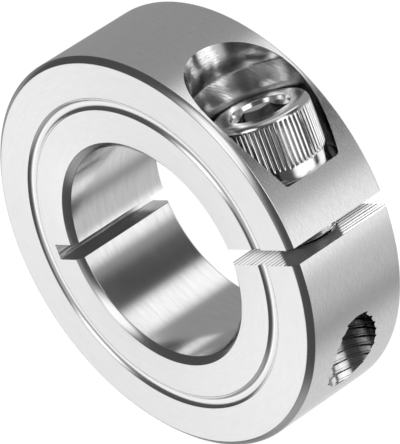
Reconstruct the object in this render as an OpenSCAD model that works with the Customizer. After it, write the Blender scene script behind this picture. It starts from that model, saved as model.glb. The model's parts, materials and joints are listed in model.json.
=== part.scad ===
// One-piece clamp shaft collar with a socket head clamp screw.
// It lies flat on its back face: +Z runs along the bore towards the grooved front face,
// +X points at the clamping slit, and the screw runs across the slit along Y.
// All sizes are in millimetres.

/* [Ring] */
// Diameter of the bore
bore_d = 22.225; // [20:0.005:26]
// Thickness of the ring between its bore and its outside
wall_t = 9.525; // [8.5:0.025:18]
// Width of the collar along the shaft
collar_w = 12.7; // [12.4:0.1:25.4]
// Outer edge chamfer, measured across the face
outer_chamfer_face = 0.58; // [0.2:0.01:1.5]
// Outer edge chamfer, measured along the shaft
outer_chamfer_side = 0.5; // [0.2:0.01:1.5]
// Bore edge chamfer, measured across the face
bore_chamfer_face = 0.7; // [0.2:0.01:1.5]
// Bore edge chamfer, measured along the shaft
bore_chamfer_side = 0.55; // [0.2:0.01:1.5]

/* [Face groove] */
// Distance of the groove's middle from the bore wall
groove_inset = 4.71; // [3:0.01:6]
// Width of the groove across the face
groove_w = 1.25; // [0.8:0.01:1.6]
// Depth of the groove at its rounded bottom
groove_depth = 0.3; // [0.2:0.01:0.6]

/* [Saw cuts] */
// Width of the slit and of the hinge kerf
kerf_w = 1.5875; // [0.8:0.0125:2.4]
// Depth of the hinge kerf beyond the bore wall
kerf_depth = 3.175; // [1.5:0.005:5]
// Radius of the slotting saw, which leaves the root of the kerf slightly curved
saw_r = 140; // [60:5:300]

/* [Screw seat] */
// Height of the screw's seat above the middle of the slit
seat_h = 5.8; // [4.5:0.1:6.5]
// Thinnest wall between the screw's pocket and the bore
pocket_wall = 0.45; // [0.3:0.01:1.5]
// Gap all round between the screw's head and its pocket
pocket_gap = 0.795; // [0.4:0.005:1]
// Gap all round between the screw and its clearance hole
clearance_gap = 0.2; // [0.1:0.01:0.5]
// Running gap all round between the screw and its tapped hole
thread_gap = 0.05; // [0.02:0.005:0.1]
// Countersink at the mouths of both screw holes
hole_chamfer = 0.25; // [0.1:0.01:0.4]

/* [Clamp screw] */
// Outside diameter of the screw's thread
thread_d = 6.35; // [5:0.05:7]
// Length of the screw under its head
shank_l = 12.7; // [12.7:0.3175:19.05]
// Chamfer at the screw's tip
tip_chamfer = 0.6; // [0.2:0.05:1]
// Diameter of the head over its knurl
head_d = 9.525; // [8.8:0.025:10]
// Height of the head
head_h = 6.35; // [5:0.05:7]
// Height of the plain band under the knurl
band_h = 1.4; // [0.6:0.1:2.5]
// Number of flutes in the knurl
flute_n = 60; // [36:1:72]
// Depth of the flutes
flute_depth = 0.24; // [0.1:0.01:0.3]
// Chamfer at the top edge of the head
rim_chamfer = 0.35; // [0.1:0.01:0.5]

/* [Hex socket] */
// Width of the socket across its flats
socket_af = 4.7625; // [4:0.0125:5.5]
// Depth of the socket's flats
socket_depth = 3.05; // [2:0.05:4]
// Mouth of the countersink beyond the socket's corners
mouth_margin = 0.27; // [0.1:0.01:0.6]
// Turn of the socket about the screw's axis
socket_turn = 58; // [0:1:60]

/* [Hidden] */
$fn = 96;

bore_r = bore_d / 2;
outer_r = bore_r + wall_t;
mid_z = collar_w / 2;
beyond = 1;                              // how far a cutter runs past the surface it opens

groove_mid_r = bore_r + groove_inset;
// The groove's bottom is an arc through its two edges and its deepest point
groove_arc_r = (pow(groove_w / 2, 2) + pow(groove_depth, 2)) / (2 * groove_depth);

head_r = head_d / 2;
shank_r = thread_d / 2;
pocket_r = head_r + pocket_gap;
clearance_r = shank_r + clearance_gap;
tapped_r = shank_r + thread_gap;
// The screw's axis lies as near the bore as the pocket's wall allows at the seat
screw_x = sqrt(pow(bore_r, 2) - pow(seat_h, 2)) + pocket_wall + pocket_r;

head_top = seat_h + head_h;
band_r = head_r - flute_depth / 2;       // the knurl rises from the plain band by half its depth
flute_r = head_r - flute_depth;
socket_corner_r = socket_af / 2 / cos(30);
mouth_r = socket_corner_r + mouth_margin;
mouth_slope = tan(50);                   // a steep countersink, 80 degrees across
drill_slope = tan(31);                   // the drill's point under the flats, 118 degrees across

// Turns a solid of revolution so that its axis is the screw's, with its height along +Y
module on_screw_axis() {
    translate([screw_x, 0, mid_z]) rotate([-90, 0, 0]) children();
}

// Cross-section of the ring, radius along x and height along y
module ring_profile() {
    difference() {
        polygon([
            [bore_r + bore_chamfer_face, 0],
            [outer_r - outer_chamfer_face, 0],
            [outer_r, outer_chamfer_side],
            [outer_r, collar_w - outer_chamfer_side],
            [outer_r - outer_chamfer_face, collar_w],
            [bore_r + bore_chamfer_face, collar_w],
            [bore_r, collar_w - bore_chamfer_side],
            [bore_r, bore_chamfer_side]
        ]);
        translate([groove_mid_r, collar_w - groove_depth + groove_arc_r]) circle(groove_arc_r);
    }
}

// One pass of the saw cuts the slit, crosses the bore and ends in the hinge kerf
module saw_cut() {
    root_x = -(bore_r + kerf_depth);
    intersection() {
        translate([root_x + saw_r, 0, mid_z]) rotate([90, 0, 0])
            cylinder(h = kerf_w, r = saw_r, center = true);
        translate([root_x - beyond, -kerf_w, -beyond])
            cube([outer_r - root_x + 2 * beyond, 2 * kerf_w, collar_w + 2 * beyond]);
    }
}

// Spot-faced pocket for the head, clearance hole through the upper jaw
// and threading hole through the lower jaw
module screw_holes() {
    on_screw_axis() {
        translate([0, 0, seat_h]) cylinder(h = outer_r, r = pocket_r);
        cylinder(h = seat_h + beyond, r = clearance_r);
        translate([0, 0, seat_h - hole_chamfer])
            cylinder(h = hole_chamfer, r1 = clearance_r, r2 = clearance_r + hole_chamfer);
        translate([0, 0, -outer_r]) cylinder(h = outer_r, r = tapped_r);
        translate([0, 0, -kerf_w / 2 - hole_chamfer])
            cylinder(h = hole_chamfer, r1 = tapped_r, r2 = tapped_r + hole_chamfer);
    }
}

module collar() {
    color("gainsboro")
    difference() {
        rotate_extrude() ring_profile();
        saw_cut();
        screw_holes();
    }
}

// Outline of the head across its knurl: each flute is a V with a narrow crest beside it
module knurl_outline() {
    crest = 0.28;                        // share of the pitch taken by the crest
    pitch = 360 / flute_n;
    polygon([for (i = [0 : flute_n - 1], p = [[0, head_r], [crest, head_r], [(1 + crest) / 2, flute_r]])
        let (a = (i + p[0]) * pitch) p[1] * [cos(a), sin(a)]]);
}

module head_blank() {
    rotate_extrude() polygon([
        [0, seat_h],
        [band_r, seat_h],
        [band_r, seat_h + band_h],
        [head_r, seat_h + band_h + flute_depth],
        [head_r, head_top - rim_chamfer],
        [head_r - rim_chamfer, head_top],
        [0, head_top]
    ]);
}

module head() {
    intersection() {
        head_blank();
        union() {
            translate([0, 0, seat_h]) cylinder(h = band_h, r = band_r);
            translate([0, 0, seat_h]) linear_extrude(head_h) knurl_outline();
        }
    }
}

// Hex socket with a countersunk mouth and the cone that its drill leaves
module hex_socket() {
    mouth_h = (mouth_r - socket_af / 2) * mouth_slope;
    cone_h = socket_af / 2 * drill_slope;
    translate([0, 0, head_top - socket_depth]) {
        rotate(socket_turn) cylinder(h = socket_depth + beyond, r = socket_corner_r, $fn = 6);
        translate([0, 0, -cone_h]) cylinder(h = cone_h, r1 = 0, r2 = socket_af / 2);
    }
    translate([0, 0, head_top - mouth_h]) cylinder(h = mouth_h, r1 = socket_af / 2, r2 = mouth_r);
}

module shank() {
    tip_y = seat_h - shank_l;
    rotate_extrude() polygon([
        [0, tip_y],
        [shank_r - tip_chamfer, tip_y],
        [shank_r, tip_y + tip_chamfer],
        [shank_r, seat_h],
        [0, seat_h]
    ]);
}

module clamp_screw() {
    color("silver")
    on_screw_axis() {
        difference() {
            head();
            hex_socket();
        }
        shank();
    }
}

collar();
clamp_screw();
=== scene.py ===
import json
import math
import random
import bpy
import bmesh
from mathutils import Matrix, Vector


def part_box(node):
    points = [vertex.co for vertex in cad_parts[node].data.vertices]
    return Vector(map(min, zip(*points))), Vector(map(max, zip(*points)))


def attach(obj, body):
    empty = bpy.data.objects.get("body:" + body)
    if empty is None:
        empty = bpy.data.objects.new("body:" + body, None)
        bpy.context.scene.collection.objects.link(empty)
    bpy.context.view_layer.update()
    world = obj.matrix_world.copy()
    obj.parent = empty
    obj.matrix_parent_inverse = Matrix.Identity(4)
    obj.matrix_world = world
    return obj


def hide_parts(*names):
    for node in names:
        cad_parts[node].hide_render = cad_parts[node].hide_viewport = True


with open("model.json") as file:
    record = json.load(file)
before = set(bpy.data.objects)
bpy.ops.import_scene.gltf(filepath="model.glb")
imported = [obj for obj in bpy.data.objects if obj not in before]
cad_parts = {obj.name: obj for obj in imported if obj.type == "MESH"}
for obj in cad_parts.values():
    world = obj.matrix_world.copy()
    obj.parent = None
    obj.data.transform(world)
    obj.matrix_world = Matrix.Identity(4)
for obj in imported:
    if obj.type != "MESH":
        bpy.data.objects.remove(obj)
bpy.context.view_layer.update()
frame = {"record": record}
print("frame loaded")

mm = 0.001
ringLow, ringHigh = [Vector(corner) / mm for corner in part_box("collar")]
screwLow, screwHigh = [Vector(corner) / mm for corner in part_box("clamp_screw")]
mounts = {mount["name"]: mount for mount in frame["record"]["mounts"]}
screwJoint = frame["record"]["behaviour"]["joints"][0]
screwX = screwJoint["pos_m"][0] / mm
midZ = screwJoint["pos_m"][2] / mm

# Everything below is in millimetres until a piece is finished
ring = {
    "boreR": mounts["shaft_bore"]["dims"]["r_mm"],
    "outerR": (ringHigh.y - ringLow.y) / 2,
    "width": ringHigh.z - ringLow.z,
    "outerChamferFace": 0.58,
    "outerChamferSide": 0.5,
    "boreChamferFace": 0.7,
    "boreChamferSide": 0.55,
    "grooveInset": 4.71,       # from the bore wall to the groove's middle
    "grooveWidth": 1.25,
    "grooveDepth": 0.3,
    "grooveSquareness": 2.2,   # 2 would be a plain parabola
    "edgeBreak": 0.05,
    "steps": 720,
}

slit = {
    "width": 1.5875,
    "kerfDepth": 3.175,        # past the bore wall, opposite the slit
    "sawR": 140.0,
    "markPitch": 0.62,         # the saw's feed marks
    "markWidth": 0.26,
    "markDepth": 0.02,
    "paintedReflectionSlant": 0.716,       # the painted dark reflection runs aslant across the wall, towards the back
    "paintedReflectionMiddle": 10.0,
    "paintedReflectionHalf": 3.7,
    "kerfShadeLow": 1.5,       # painted shade in the kerf darkens between these heights
    "kerfShadeHigh": 3.5,
    "kerfRootShade": 0.62,     # how dark the painted shade on the kerf's root is, beside its walls
    "seed": 7,
}

seat = {
    "height": 5.8,             # of the screw's seat above the slit's middle
    "pocketR": 5.5575,
    "cornerR": 0.25,
    "clearanceR": 3.375,
    "clearanceChamfer": 0.25,
    "ringHeight": 14.75,       # the scored ring that the spot-facer left
    "ringWidth": 0.16,
    "ringDepth": 0.06,
    "ringStep": 0.02,          # the wall is this much wider above the ring
    "paintedShadeTurn": -0.46,        # where the band of painted shade lies round the pocket, in radians
    "steps": 360,
}


# Turns a piece made round Z so that its axis is the screw's, with its height along +Y
ontoScrewAxis = Matrix.Translation((screwX, 0, midZ)) @ Matrix.Rotation(math.radians(-90), 4, "X")


def spinProfile(points, steps, closed):
    bm = bmesh.new()
    verts = [bm.verts.new((radius, 0, height)) for radius, height in points]
    edges = [bm.edges.new(pair) for pair in zip(verts, verts[1:])]
    if closed:
        edges.append(bm.edges.new((verts[-1], verts[0])))
    bmesh.ops.spin(bm, geom=verts + edges, cent=(0, 0, 0), axis=(0, 0, 1), dvec=(0, 0, 0),
                   angle=math.tau, steps=steps, use_merge=True, use_duplicate=False)
    bmesh.ops.remove_doubles(bm, verts=bm.verts, dist=1e-5)
    bmesh.ops.dissolve_degenerate(bm, edges=bm.edges, dist=1e-6)
    bmesh.ops.recalc_face_normals(bm, faces=bm.faces)
    return bm


def arcPoints(centre, radius, startAngle, endAngle, count):
    angles = [math.radians(startAngle + (endAngle - startAngle) * i / count) for i in range(count + 1)]
    return [(centre[0] + radius * math.cos(a), centre[1] + radius * math.sin(a)) for a in angles]


def breakEdges(bm, width, minAngle):
    sharp = [edge for edge in bm.edges
             if len(edge.link_faces) == 2 and edge.calc_face_angle() > math.radians(minAngle)]
    bmesh.ops.bevel(bm, geom=sharp, offset=width, offset_type="OFFSET", affect="EDGES",
                    segments=2, profile=0.5, material=-1, clamp_overlap=True)


def meshObject(name, bm, materials):
    mesh = bpy.data.meshes.new(name)
    bm.to_mesh(mesh)
    bm.free()
    for material in materials:
        mesh.materials.append(material)
    obj = bpy.data.objects.new(name, mesh)
    bpy.context.scene.collection.objects.link(obj)
    return obj


def combine(target, other, operation):
    modifier = target.modifiers.new("combine", "BOOLEAN")
    modifier.operation = operation
    modifier.solver = "EXACT"
    modifier.material_mode = "TRANSFER"
    modifier.object = other
    bpy.context.view_layer.update()
    graph = bpy.context.evaluated_depsgraph_get()
    mesh = bpy.data.meshes.new_from_object(target.evaluated_get(graph))
    target.modifiers.clear()
    oldMesh = target.data
    target.data = mesh
    bpy.data.meshes.remove(oldMesh)
    bpy.data.objects.remove(other)


def finishPiece(obj, body, node, smoothAngle):
    bm = bmesh.new()
    bm.from_mesh(obj.data)
    bmesh.ops.remove_doubles(bm, verts=bm.verts, dist=1e-4)
    bmesh.ops.dissolve_degenerate(bm, edges=bm.edges, dist=1e-4)
    bmesh.ops.scale(bm, verts=bm.verts, vec=(mm, mm, mm))
    for edge in bm.edges:     # two finishes always meet at a crisp edge
        edge.smooth = len({face.material_index for face in edge.link_faces}) == 1
    bm.to_mesh(obj.data)
    openEdges = sum(1 for edge in bm.edges if not edge.is_manifold)
    bm.free()
    finishEdges = [edge.index for edge in obj.data.edges if edge.use_edge_sharp]
    obj.data.shade_smooth()
    obj.data.set_sharp_from_angle(angle=math.radians(smoothAngle))
    for index in finishEdges:
        obj.data.edges[index].use_edge_sharp = True
    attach(obj, body)
    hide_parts(node)
    print(obj.name, "faces", len(obj.data.polygons), "open edges", openEdges)


# Node helpers
def addNode(tree, kind, values=None, **settings):
    node = tree.nodes.new("ShaderNode" + kind)
    for key, value in settings.items():
        setattr(node, key, value)
    for key, value in (values or {}).items():
        node.inputs[key].default_value = value
    return node


def mathNode(tree, operation, *operands):
    node = addNode(tree, "Math", operation=operation)
    for socket, operand in zip(node.inputs, operands):
        if isinstance(operand, (int, float)):
            socket.default_value = operand
        else:
            tree.links.new(operand, socket)
    return node.outputs[0]


def vectorMath(tree, operation, *operands):
    node = addNode(tree, "VectorMath", operation=operation)
    for socket, operand in zip(node.inputs, operands):
        if isinstance(operand, (tuple, list)):
            socket.default_value = operand
        else:
            tree.links.new(operand, socket)
    return node.outputs[0]


def split(tree, vector):
    node = addNode(tree, "SeparateXYZ")
    tree.links.new(vector, node.inputs[0])
    return node.outputs


def noise(tree, vector, scale, detail=3.0, roughness=0.6):
    node = addNode(tree, "TexNoise", {"Scale": scale, "Detail": detail, "Roughness": roughness})
    tree.links.new(vector, node.inputs["Vector"])
    return node.outputs["Fac"]


def mapRange(tree, value, fromLow, fromHigh, toLow, toHigh, smooth=False):
    node = addNode(tree, "MapRange", {1: fromLow, 2: fromHigh, 3: toLow, 4: toHigh})
    node.interpolation_type = "SMOOTHSTEP" if smooth else "LINEAR"
    tree.links.new(value, node.inputs[0])
    return node.outputs[0]


def grey(tree, value):
    node = addNode(tree, "CombineColor")
    for socket in node.inputs:
        tree.links.new(value, socket)
    return node.outputs[0]


def blend(tree, share, first, second):
    node = addNode(tree, "MixShader")
    for socket, source in zip(node.inputs, (share, first, second)):
        tree.links.new(source, socket)
    return node.outputs[0]


# Object coordinates in millimetres, or measured from an axis along Y through the screw
def placeInMillimetres(tree, aroundScrew=False):
    coordinates = addNode(tree, "TexCoord").outputs["Object"]
    scaled = vectorMath(tree, "MULTIPLY", coordinates, (1 / mm, 1 / mm, 1 / mm))
    if aroundScrew:
        scaled = vectorMath(tree, "SUBTRACT", scaled, (screwX, 0, midZ))
    return scaled


# A vector that changes slowly round the axis and quickly along or away from it,
# so that noise on it draws the marks of a lathe tool
def latheVector(tree, place, alongRadius, around, across):
    x, y, z = split(tree, place)
    radius = mathNode(tree, "SQRT", mathNode(tree, "ADD", mathNode(tree, "MULTIPLY", x, x),
                                             mathNode(tree, "MULTIPLY", y, y)))
    vector = addNode(tree, "CombineXYZ")
    for socket, part in zip(vector.inputs, (x, y)):
        tree.links.new(mathNode(tree, "MULTIPLY", mathNode(tree, "DIVIDE", part, radius), around), socket)
    tree.links.new(mathNode(tree, "MULTIPLY", radius if alongRadius else z, across), vector.inputs[2])
    return vector.outputs[0]


# A bare metal whose brightness, gloss and bump follow one pattern of tool marks, which on some finishes carries
# painted shade as well
def metalMaterial(name, look, buildPattern):
    material = bpy.data.materials.new(name)
    material.use_nodes = True
    tree = material.node_tree
    shader = tree.nodes["Principled BSDF"]
    shader.inputs["Metallic"].default_value = look.get("metallic", 1.0)
    pattern = buildPattern(tree)
    dark, bright = look["tone"]
    tree.links.new(grey(tree, mapRange(tree, pattern, 0.25, 0.7, dark, bright)), shader.inputs["Base Color"])
    smoothest, roughest = look["roughness"]
    tree.links.new(mapRange(tree, pattern, 0.25, 0.75, roughest, smoothest), shader.inputs["Roughness"])
    if "stretch" in look:     # turned metal spreads its gloss across the tool marks
        shader.inputs["Anisotropic"].default_value = look["stretch"]
        shader.inputs["Anisotropic Rotation"].default_value = 0.25
        tangent = addNode(tree, "Tangent", direction_type="RADIAL", axis="Z")
        tree.links.new(tangent.outputs[0], shader.inputs["Tangent"])
    bump = addNode(tree, "Bump", {"Strength": 1.0, "Distance": look["relief"] * mm})
    tree.links.new(pattern, bump.inputs["Height"])
    tree.links.new(bump.outputs[0], shader.inputs["Normal"])
    return material


# Darkens the sawn walls in the feed marks, with painted shade in the kerf and a painted dark reflection in a
# slanting patch beside the screw.
# The patch stands for the screw's dark reflection in the photo, and is fixed to the wall.
def sawnPattern(stretch, scale):
    def build(tree):
        place = placeInMillimetres(tree)
        grain = noise(tree, vectorMath(tree, "MULTIPLY", place, stretch), scale, 4.0, 0.65)
        x, y, z = split(tree, place)
        half = slit["width"] / 2
        fromMiddle = mathNode(tree, "ABSOLUTE", y)
        mark = mapRange(tree, fromMiddle, half + 0.001, half + slit["markDepth"] * 0.6, 0, 0.8)
        # Painted dark reflection of the screw: a slanting patch across the wall
        inward = mathNode(tree, "SUBTRACT", ring["outerR"], x)
        slanting = mathNode(tree, "ADD", z, mathNode(tree, "MULTIPLY", inward, slit["paintedReflectionSlant"]))
        fromPaintedDarkBand = mathNode(tree, "ABSOLUTE", mathNode(tree, "SUBTRACT", slanting, slit["paintedReflectionMiddle"]))
        paintedDarkBand = mapRange(tree, fromPaintedDarkBand, slit["paintedReflectionHalf"] - 0.5, slit["paintedReflectionHalf"] + 0.3, 1, 0, True)
        # Painted shade in the kerf, lighter towards the back and on the kerf's root
        inKerf = mapRange(tree, x, -0.2 - ring["boreR"], 0.2 - ring["boreR"], 1, 0)
        upwards = mapRange(tree, z, slit["kerfShadeLow"], slit["kerfShadeHigh"], 0.3, 1, True)
        inKerf = mathNode(tree, "MULTIPLY", inKerf, upwards)
        onWall = mapRange(tree, fromMiddle, half - 0.03, half - 0.01, slit["kerfRootShade"], 1)
        inKerf = mathNode(tree, "MULTIPLY", inKerf, onWall)
        paintedDarkening = mathNode(tree, "MAXIMUM", paintedDarkBand, inKerf)
        streak = mapRange(tree, grain, 0.35, 0.65, 0.45, 0.9)
        plain = mathNode(tree, "SUBTRACT", mapRange(tree, grain, 0.2, 0.8, 0.6, 0.8), mark)
        return mathNode(tree, "SUBTRACT", plain, mathNode(tree, "MULTIPLY", paintedDarkening, streak))
    return build


# Strokes of a cutter turning about the screw's axis: long one way, fine the other,
# and leaning towards the axis by the given share. One band of painted shade runs along the pocket.
def cutterPattern(along, across, lean):
    def build(tree):
        x, y, z = split(tree, placeInMillimetres(tree, True))
        turn = mathNode(tree, "ARCTAN2", z, mathNode(tree, "MULTIPLY", x, -1))
        arc = mathNode(tree, "MULTIPLY", turn, seat["pocketR"])
        vector = addNode(tree, "CombineXYZ")
        alongStroke = mathNode(tree, "ADD", arc, mathNode(tree, "MULTIPLY", y, lean))
        acrossStroke = mathNode(tree, "SUBTRACT", y, mathNode(tree, "MULTIPLY", arc, lean))
        tree.links.new(mathNode(tree, "MULTIPLY", alongStroke, along), vector.inputs[0])
        tree.links.new(mathNode(tree, "MULTIPLY", acrossStroke, across), vector.inputs[1])
        # A band of painted shade along the pocket
        fromPaintedDarkBand = mathNode(tree, "ABSOLUTE", mathNode(tree, "SUBTRACT", turn, seat["paintedShadeTurn"]))
        paintedDarkBand = mapRange(tree, fromPaintedDarkBand, 0.06, 0.28, 0.4, 0, True)
        return mathNode(tree, "SUBTRACT", noise(tree, vector.outputs[0], 1.0, 4.0, 0.7), paintedDarkBand)
    return build


def turnedPattern(alongRadius, around, across, scale):
    def build(tree):
        vector = latheVector(tree, placeInMillimetres(tree), alongRadius, around, across)
        return noise(tree, vector, scale, 4.0, 0.65)
    return build


def streakPattern(stretch, scale, aroundScrew=False):
    def build(tree):
        vector = vectorMath(tree, "MULTIPLY", placeInMillimetres(tree, aroundScrew), stretch)
        return noise(tree, vector, scale, 4.0, 0.65)
    return build


# Painted shade: bright at the hole's mouth and darker further in
def tappedPattern(stretch, scale):
    def build(tree):
        place = placeInMillimetres(tree, True)
        grain = noise(tree, vectorMath(tree, "MULTIPLY", place, stretch), scale, 4.0, 0.65)
        bright, dark = -16.0, -11.0     # heights along the screw's axis
        paintedDarkening = mapRange(tree, split(tree, place)[1], bright, dark, 0, 0.42)
        return mathNode(tree, "SUBTRACT", mapRange(tree, grain, 0.2, 0.8, 0.55, 0.75), paintedDarkening)
    return build


finishes = {
    "turnedFace": metalMaterial(
        "turned face", {"tone": (0.82, 0.87), "roughness": (0.28, 0.34), "relief": 0.0008, "stretch": 0.6},
        turnedPattern(True, 9.0, 6.0, 1.0)),
    "turnedRim": metalMaterial(
        "turned rim", {"tone": (0.76, 0.88), "roughness": (0.22, 0.32), "relief": 0.0025, "stretch": 0.6},
        turnedPattern(False, 22.0, 9.0, 1.0)),
    "smoothBore": metalMaterial(
        "smooth bore", {"tone": (0.76, 0.84), "roughness": (0.14, 0.2), "relief": 0.001, "stretch": 0.5},
        turnedPattern(False, 4.0, 2.0, 1.0)),
    "chamferCut": metalMaterial(
        "chamfer cut", {"tone": (0.66, 0.78), "roughness": (0.16, 0.26), "relief": 0.002},
        turnedPattern(True, 2.0, 6.0, 1.0)),
    "grooveCut": metalMaterial(
        "groove cut", {"tone": (0.8, 0.88), "roughness": (0.16, 0.24), "relief": 0.001},
        turnedPattern(True, 1.2, 8.0, 1.0)),
    "sawnWall": metalMaterial(
        "sawn wall", {"tone": (0.05, 0.84), "roughness": (0.25, 0.35), "relief": 0.001, "metallic": 0.15},
        sawnPattern((6.0, 6.0, 0.3), 1.0)),
    "pocketWall": metalMaterial(
        "pocket wall", {"tone": (0.42, 0.95), "roughness": (0.12, 0.2), "relief": 0.0005},
        cutterPattern(1.0, 5.0, 0.0)),
    "spotFaced": metalMaterial(
        "spot-faced wall", {"tone": (0.38, 0.95), "roughness": (0.12, 0.24), "relief": 0.007},
        cutterPattern(0.5, 6.0, 0.8)),
    "tappedThread": metalMaterial(
        "tapped thread", {"tone": (0.12, 0.8), "roughness": (0.14, 0.24), "relief": 0.002},
        tappedPattern((3.0, 8.0, 3.0), 1.0)),
    "broachedHex": metalMaterial(
        "broached hex", {"tone": (0.4, 0.7), "roughness": (0.14, 0.22), "relief": 0.001},
        streakPattern((6.0, 0.8, 6.0), 1.0, True)),
    "screwSteel": metalMaterial(
        "screw steel", {"tone": (0.78, 0.9), "roughness": (0.1, 0.18), "relief": 0.001},
        streakPattern((6.0, 1.5, 6.0), 1.0, True)),
}
print("finishes mixed")


def ringProfile():
    inner, outer, width = ring["boreR"], ring["outerR"], ring["width"]
    half, depth = ring["grooveWidth"] / 2, ring["grooveDepth"]
    grooveR = inner + ring["grooveInset"]
    across = [1 - 2 * i / 24 for i in range(25)]     # from its outer edge to its inner one
    groove = [(grooveR + half * share, width - depth * (1 - abs(share) ** ring["grooveSquareness"]))
              for share in across]
    return [
        (inner + ring["boreChamferFace"], 0),
        (outer - ring["outerChamferFace"], 0),
        (outer, ring["outerChamferSide"]),
        (outer, width - ring["outerChamferSide"]),
        (outer - ring["outerChamferFace"], width),
        *groove,
        (inner + ring["boreChamferFace"], width),
        (inner, width - ring["boreChamferSide"]),
        (inner, ring["boreChamferSide"]),
    ]


ringFinishes = ["turnedFace", "turnedRim", "smoothBore", "chamferCut", "grooveCut"]


def finishOfRingFace(face):
    centre, normal = face.calc_center_median(), face.normal
    radius = math.hypot(centre.x, centre.y)
    outward = (normal.x * centre.x + normal.y * centre.y) / radius
    fromGroove = abs(radius - ring["boreR"] - ring["grooveInset"])
    overGroove = centre.z > midZ and fromGroove < ring["grooveWidth"] / 2 + ring["edgeBreak"]
    if overGroove and abs(normal.z) < 0.9999:
        return "grooveCut"
    if abs(normal.z) > 0.98:
        return "turnedFace"
    if outward > 0.98:
        return "turnedRim"
    if outward < -0.98:
        return "smoothBore"
    return "chamferCut"


def makeRing():
    bm = spinProfile(ringProfile(), ring["steps"], True)
    breakEdges(bm, ring["edgeBreak"], 25)
    for face in bm.faces:
        face.material_index = ringFinishes.index(finishOfRingFace(face))
    return meshObject("collar_ring", bm, [finishes[name] for name in ringFinishes])


# The saw's path seen along the shaft: two long sides with a shallow groove for each feed mark
def sawOutline():
    marks = random.Random(slit["seed"])
    half = slit["width"] / 2
    rootX = -(ring["boreR"] + slit["kerfDepth"])
    endX = ring["outerR"] + 1
    sides = []
    for side in (-1, 1):
        points = [(rootX, side * half)]
        x = rootX + slit["markPitch"] * 0.7
        while x < endX - slit["markPitch"]:
            reach = slit["markWidth"] / 2 * marks.uniform(0.7, 1.2)
            depth = slit["markDepth"] * marks.uniform(0.6, 1.1)
            points += [(x - reach, side * half), (x, side * (half + depth)), (x + reach, side * half)]
            x += slit["markPitch"] * marks.uniform(0.88, 1.12)
        points.append((endX, side * half))
        sides.append(points)
    return sides[0] + sides[1][::-1]


def makeSawCutter():
    levels = 12
    bottom, top = -0.6, ring["width"] + 0.6
    bm = bmesh.new()
    base = bm.faces.new([bm.verts.new((x, y, bottom)) for x, y in sawOutline()])
    layer = [base]
    for level in range(levels):
        grown = bmesh.ops.extrude_face_region(bm, geom=layer)["geom"]
        bmesh.ops.delete(bm, geom=layer if level else [], context="FACES_ONLY")
        layer = [item for item in grown if isinstance(item, bmesh.types.BMFace)]
        verts = [item for item in grown if isinstance(item, bmesh.types.BMVert)]
        bmesh.ops.translate(bm, verts=verts, vec=(0, 0, (top - bottom) / levels))
    for vert in bm.verts:
        fromMiddle = vert.co.z - midZ
        vert.co.x += slit["sawR"] - math.sqrt(slit["sawR"] ** 2 - fromMiddle ** 2)
    bmesh.ops.recalc_face_normals(bm, faces=bm.faces)
    return meshObject("saw_cutter", bm, [finishes["sawnWall"]])


def makePocketCutter():
    height, wall, corner = seat["height"], seat["pocketR"], seat["cornerR"]
    ringY, half = seat["ringHeight"], seat["ringWidth"] / 2
    points = [(0, 0), (seat["clearanceR"], 0), (seat["clearanceR"], height - seat["clearanceChamfer"]),
              (seat["clearanceR"] + seat["clearanceChamfer"], height)]
    points += arcPoints((wall - corner, height + corner), corner, -90, 0, 6)
    upperWall = wall + seat["ringStep"]
    points += [(wall, ringY - half), (wall + seat["ringDepth"], ringY), (upperWall, ringY + half),
               (upperWall, ring["outerR"] + 2), (0, ring["outerR"] + 2)]
    bm = spinProfile(points, seat["steps"], False)
    for face in bm.faces:
        face.material_index = 1 if face.calc_center_median().z < ringY else 0
    bm.transform(ontoScrewAxis)
    return meshObject("pocket_cutter", bm, [finishes["pocketWall"], finishes["spotFaced"]])


thread = {
    "pitch": 0.907,
    "majorR": 3.175,
    "minorR": 2.6,
    "crest": 0.113,
    "play": 0.05,              # radial play between the screw's thread and the collar's
    "lift": 0.038,             # the screw's thread sits this much higher, midway in its axial play
    "tappedMinorR": 2.97,
    "mouthR": 3.13,            # what the grooves reach more than a millimetre past the screw's tip
    "stepsPerTurn": 60,
    "tipChamfer": 0.6,
}


# A closed rod with a real helical thread. Rods made here share one phase, so they mesh at rest.
# The screw turns in place, so between whole turns its thread passes into the collar's.
def threadedRod(majorR, minorR, low, high, lift=0.0):
    pitch, crest, steps = thread["pitch"], thread["crest"], thread["stepsPerTurn"]
    flank = (majorR - minorR) * math.tan(math.radians(30))
    root = pitch - crest - 2 * flank
    start = (math.floor(low / pitch) - 3) * pitch + lift
    turns = math.ceil((high - start) / pitch) + 2
    profile = [(minorR, 0), (minorR, root / 2), (majorR, root / 2 + flank),
               (majorR, root / 2 + flank + crest), (minorR, pitch - root / 2), (minorR, pitch)]
    bm = bmesh.new()
    verts = [bm.verts.new((radius, 0, start + height)) for radius, height in profile]
    edges = [bm.edges.new(pair) for pair in zip(verts, verts[1:])]
    bmesh.ops.spin(bm, geom=verts + edges, cent=(0, 0, 0), axis=(0, 0, 1),
                   dvec=(0, 0, pitch / steps), angle=math.tau * turns, steps=steps * turns,
                   use_merge=False, use_duplicate=False)
    bmesh.ops.remove_doubles(bm, verts=bm.verts, dist=1e-4)
    for height, side in ((low, -1), (high, 1)):
        bmesh.ops.bisect_plane(bm, geom=bm.verts[:] + bm.edges[:] + bm.faces[:], dist=1e-5,
                               plane_co=(0, 0, height), plane_no=(0, 0, side), clear_outer=True)
    rim = [edge for edge in bm.edges if edge.is_boundary]
    bmesh.ops.holes_fill(bm, edges=rim, sides=0)
    bmesh.ops.recalc_face_normals(bm, faces=bm.faces)
    return bm


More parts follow.
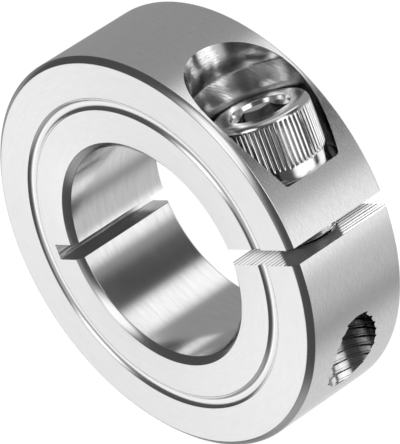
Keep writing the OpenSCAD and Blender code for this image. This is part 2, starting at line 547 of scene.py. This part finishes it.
def makeTapCutter():
    bm = threadedRod(thread["majorR"] + thread["play"], thread["tappedMinorR"], -ring["outerR"], 0)
    for vert in bm.verts:     # past the screw's tip the grooves are cut less deep
        distance = math.hypot(vert.co.x, vert.co.y)
        if vert.co.z < screwLow.y - 1 and distance > thread["mouthR"]:
            vert.co.x *= thread["mouthR"] / distance
            vert.co.y *= thread["mouthR"] / distance
    bm.transform(ontoScrewAxis)
    return meshObject("tap_cutter", bm, [finishes["tappedThread"]])


def makeCollar():
    collar = makeRing()
    combine(collar, makeSawCutter(), "DIFFERENCE")
    combine(collar, makePocketCutter(), "DIFFERENCE")
    combine(collar, makeTapCutter(), "DIFFERENCE")
    finishPiece(collar, "collar", "collar", 30)


head = {
    "radius": 4.7625,
    "top": screwHigh.y,
    "bandHeight": 1.3,
    "bandFade": 0.35,          # over this height the flutes run out into the band
    "rimFade": 0.25,           # and over this height into the rim
    "flutes": 60,
    "fluteDepth": 0.16,
    "samplesPerFlute": 12,
    "crestWidth": 1.7,         # above 1 the crests are flat and the valleys narrow
    "rimFace": 0.3,
    "rimSide": 0.4,
    "socketFlats": 4.7625,
    "socketDepth": 3.05,
    "socketTurn": 58.0,
    "socketCorner": 0.1,
    "mouthR": 3.02,
    "throatR": 2.88,           # where the steep mouth turns into the flatter cone
    "throatDepth": 0.42,
}


# The band's radius and the heights where the band and the knurl end
def headLevels():
    bandR = head["radius"] - head["fluteDepth"] / 2 - 0.01
    return bandR, seat["height"] + head["bandHeight"], head["top"] - head["rimSide"]


# The head's outline, radius and height, with the flutes still to be pressed in
def headProfile():
    low, top, radius = seat["height"], head["top"], head["radius"]
    bandR, bandTop, knurlTop = headLevels()
    rise = head["bandFade"]
    levels = [bandTop + rise * i / 6 for i in range(7)]
    points = [(0, low), (bandR - 0.12, low), (bandR - 0.03, low + 0.04), (bandR, low + 0.13)]
    points += [(bandR, low + head["bandHeight"] * share) for share in (0.5, 0.9)]
    points += [(radius, level) for level in levels]
    fadeStart = knurlTop - head["rimFade"]
    points += [(radius, bandTop + rise + (fadeStart - bandTop - rise) * i / 4) for i in range(1, 5)]
    points += [(radius, fadeStart + head["rimFade"] * i / 4) for i in range(1, 5)]
    rimR = radius - 0.01
    points += [(rimR - head["rimFace"] * share, knurlTop + head["rimSide"] * rising)
               for share, rising in ((0.15, 0.3), (0.4, 0.65), (0.7, 0.9), (1.0, 1.0))]
    points += [(head["mouthR"] + 0.4, top), (0, top)]
    return points


# Each flute is a narrow valley between flat crests. Above, the valleys fade out,
# and below, the crests run out into the band.
def pressFlutes(bm):
    radius, depth = head["radius"], head["fluteDepth"]
    bandR, bandTop, knurlTop = headLevels()
    for vert in bm.verts:
        distance = math.hypot(vert.co.x, vert.co.y)
        if distance < radius - depth or not bandTop - 1e-4 < vert.co.z < knurlTop + 1e-4:
            continue
        turn = math.atan2(vert.co.y, vert.co.x) * head["flutes"]
        valley = max(0.0, 1 - head["crestWidth"] * (0.5 + 0.5 * math.cos(turn)))
        below = min(1.0, max(0.0, (vert.co.z - bandTop) / head["bandFade"]))
        above = min(1.0, max(0.0, (knurlTop - vert.co.z) / head["rimFade"]))
        surface = bandR + (radius - depth * valley * above - bandR) * below
        vert.co.x *= surface / distance
        vert.co.y *= surface / distance


def makeHead():
    bm = spinProfile(headProfile(), head["flutes"] * head["samplesPerFlute"], False)
    pressFlutes(bm)
    bmesh.ops.recalc_face_normals(bm, faces=bm.faces)
    return meshObject("clamp_screw_piece", bm, [finishes["screwSteel"]])


def makeSocketCutter():
    flats, depth, top = head["socketFlats"], head["socketDepth"], head["top"]
    bm = bmesh.new()
    bmesh.ops.create_cone(bm, cap_ends=True, segments=6, radius1=flats / math.sqrt(3),
                          radius2=flats / math.sqrt(3), depth=depth + 1)
    upright = [edge for edge in bm.edges if abs(edge.verts[0].co.z - edge.verts[1].co.z) > 1]
    bmesh.ops.bevel(bm, geom=upright, offset=head["socketCorner"], offset_type="OFFSET",
                    affect="EDGES", segments=3, profile=0.5, material=-1)
    turn = math.radians(head["socketTurn"] - 90)     # the operator puts its first corner on +Y
    bmesh.ops.rotate(bm, verts=bm.verts, matrix=Matrix.Rotation(turn, 3, "Z"))
    bmesh.ops.translate(bm, verts=bm.verts, vec=(0, 0, top - depth + (depth + 1) / 2))
    return meshObject("socket_cutter", bm, [finishes["broachedHex"]])


def makeMouthCutter():
    half, top = head["socketFlats"] / 2, head["top"]
    bottom = top - head["socketDepth"]
    slope = math.tan(math.radians(30))
    throat = top - head["throatDepth"]
    coneLow = throat - (head["throatR"] - half) * slope
    drillR, mouthR, edge = half - 0.02, head["mouthR"], 0.03
    points = [(0, bottom - half * slope), (drillR, bottom), (drillR, coneLow), (head["throatR"], throat),
              (mouthR - edge, top - 0.04), (mouthR + edge, top), (mouthR + edge, top + 1), (0, top + 1)]
    return meshObject("mouth_cutter", spinProfile(points, 180, False), [finishes["screwSteel"]])


def makeShank():
    tip = screwLow.y
    bm = threadedRod(thread["majorR"], thread["minorR"], tip, seat["height"] + 0.3, thread["lift"])
    for vert in bm.verts:
        distance = math.hypot(vert.co.x, vert.co.y)
        limit = thread["majorR"] - thread["tipChamfer"] + (vert.co.z - tip)
        if limit < distance:
            vert.co.x *= limit / distance
            vert.co.y *= limit / distance
    return meshObject("shank", bm, [finishes["screwSteel"]])


def makeClampScrew():
    screw = makeHead()
    combine(screw, makeSocketCutter(), "DIFFERENCE")
    combine(screw, makeMouthCutter(), "DIFFERENCE")
    combine(screw, makeShank(), "UNION")
    screw.data.transform(ontoScrewAxis)
    finishPiece(screw, "clamp_screw", "clamp_screw", 30)


# Camera, set to the photograph's view of the ring
camera = {
    "aim": (0.00056, 0.00025, 0.00635),
    "azimuth": 21.21,
    "elevation": 34.36,
    "roll": 123.32,
    "distance": 0.4996,
    "lens": 426.9,
}


def placeCamera():
    azimuth, elevation = math.radians(camera["azimuth"]), math.radians(camera["elevation"])
    back = Vector((math.cos(elevation) * math.cos(azimuth), math.cos(elevation) * math.sin(azimuth),
                   math.sin(elevation)))
    data = bpy.data.cameras.new("camera")
    data.lens = camera["lens"]
    data.clip_start = 0.05
    data.clip_end = 10
    obj = bpy.data.objects.new("camera", data)
    turn = back.to_track_quat("Z", "Y").to_matrix() @ Matrix.Rotation(math.radians(-camera["roll"]), 3, "Z")
    obj.matrix_world = Matrix.Translation(Vector(camera["aim"]) + back * camera["distance"]) @ turn.to_4x4()
    bpy.context.scene.collection.objects.link(obj)
    bpy.context.scene.camera = obj


floor = {
    "size": 3,                 # in metres, as its drop is
    "drop": 0.00002,           # keeps it clear of the collar's back
    "tone": 0.85,
    "glow": 0.93,              # the share of plain white that the camera sees
}


def makeFloor():
    bm = bmesh.new()
    bmesh.ops.create_grid(bm, x_segments=1, y_segments=1, size=floor["size"])
    bmesh.ops.translate(bm, verts=bm.verts, vec=(0, 0, ringLow.z * mm - floor["drop"]))
    material = bpy.data.materials.new("pale floor")
    material.use_nodes = True
    tree = material.node_tree
    shader = tree.nodes["Principled BSDF"]
    shader.inputs["Base Color"].default_value = (floor["tone"], floor["tone"], floor["tone"], 1)
    shader.inputs["Roughness"].default_value = 0.9
    output = tree.nodes["Material Output"]
    glow = addNode(tree, "Emission", {"Color": (1, 1, 1, 1), "Strength": 1.0})
    clear = addNode(tree, "BsdfTransparent")
    rays = addNode(tree, "LightPath")
    share = mathNode(tree, "MULTIPLY", rays.outputs["Is Camera Ray"], floor["glow"])
    shadowed = blend(tree, share, shader.outputs[0], glow.outputs[0])
    seen = blend(tree, rays.outputs["Is Glossy Ray"], shadowed, clear.outputs[0])
    tree.links.new(seen, output.inputs["Surface"])
    meshObject("floor", bm, [material])


# A soft lamp beside the camera fills what is matt. The metal mirrors the cards instead of it.
fill = {"azimuth": 24, "elevation": 36, "distance": 0.5, "size": 0.2, "power": 8.5}


def placeFill():
    data = bpy.data.lights.new("fill", "AREA")
    data.size = fill["size"]
    data.energy = fill["power"]
    obj = bpy.data.objects.new("fill", data)
    towards = direction(fill["azimuth"], fill["elevation"])
    obj.matrix_world = (Matrix.Translation(towards * fill["distance"])
                        @ towards.to_track_quat("Z", "Y").to_matrix().to_4x4())
    obj.visible_glossy = False
    bpy.context.scene.collection.objects.link(obj)


# The room as the metal mirrors it. Each soft card stands at an azimuth and an elevation, in degrees,
# is full inside one half angle and has faded out at the other.
studio = {
    "upperLevel": 0.08,
    "lowerLevel": 0.32,
    "cards": {
        "behind the face": {"at": (-160, 36), "full": 15, "gone": 31, "level": 0.95},
        "beside the face card": {"at": (-130, 50), "full": 5, "gone": 20, "level": 0.5},
        "under the face card": {"at": (-170, 4), "full": 4, "gone": 20, "level": 0.25},
        "overhead": {"at": (66, 63), "full": 9, "gone": 22, "level": 1.3},
        "slit side, low": {"at": (-15, -30), "full": 6, "gone": 19, "level": 0.85},
        "slit side, level": {"at": (-17, -4), "full": 10, "gone": 22, "level": 1.1},
        "slit side, far": {"at": (18, -4), "full": 12, "gone": 22, "level": 1.5},
        "above": {"at": (-150, 84), "full": 10, "gone": 32, "level": 0.38},
        "slit side, under": {"at": (-44, -68), "full": 6, "gone": 20, "level": 0.8},
        "dark gap, under": {"at": (-22, -50), "full": 3, "gone": 12, "level": -0.5},
        "screw side, low": {"at": (72, -34), "full": 5, "gone": 20, "level": 0.85},
        "hinge side, low": {"at": (-154, -38), "full": 4, "gone": 17, "level": 0.6},
        "open side, low": {"at": (-110, -32), "full": 12, "gone": 34, "level": 0.4},
        "open side, near": {"at": (-42, -34), "full": 5, "gone": 24, "level": 0.3},
        "open side, level": {"at": (-112, 14), "full": 5, "gone": 26, "level": 0.35},
        "dark gap, low": {"at": (33, -34), "full": 8, "gone": 22, "level": -0.24},
        "camera side": {"at": (64, 2), "full": 12, "gone": 34, "level": 0.5},
    },
}


def direction(azimuth, elevation):
    azimuth, elevation = math.radians(azimuth), math.radians(elevation)
    return Vector((math.cos(elevation) * math.cos(azimuth), math.cos(elevation) * math.sin(azimuth),
                   math.sin(elevation)))


def makeWorld():
    world = bpy.data.worlds.new("studio")
    world.use_nodes = True
    tree = world.node_tree
    background = tree.nodes["Background"]
    outward = vectorMath(tree, "NORMALIZE", addNode(tree, "TexCoord").outputs["Generated"])
    level = mapRange(tree, split(tree, outward)[2], -0.1, 0.1, studio["lowerLevel"], studio["upperLevel"], True)
    for card in studio["cards"].values():
        toCard = addNode(tree, "VectorMath", operation="DOT_PRODUCT")
        tree.links.new(outward, toCard.inputs[0])
        toCard.inputs[1].default_value = direction(*card["at"])
        share = mapRange(tree, toCard.outputs["Value"], math.cos(math.radians(card["gone"])),
                         math.cos(math.radians(card["full"])), 0, card["level"], True)
        level = mathNode(tree, "ADD", level, share)
    level = mathNode(tree, "MAXIMUM", level, 0.03)
    rays = addNode(tree, "LightPath")
    shown = mathNode(tree, "MAXIMUM", level, rays.outputs["Is Camera Ray"])
    tree.links.new(shown, background.inputs["Strength"])
    background.inputs["Color"].default_value = (1, 1, 1, 1)
    bpy.context.scene.world = world


placeCamera()
makeCollar()
print("collar made")
makeClampScrew()
print("clamp screw made")
makeFloor()
placeFill()
makeWorld()
bpy.context.scene.view_settings.view_transform = "Standard"
print("stage set")
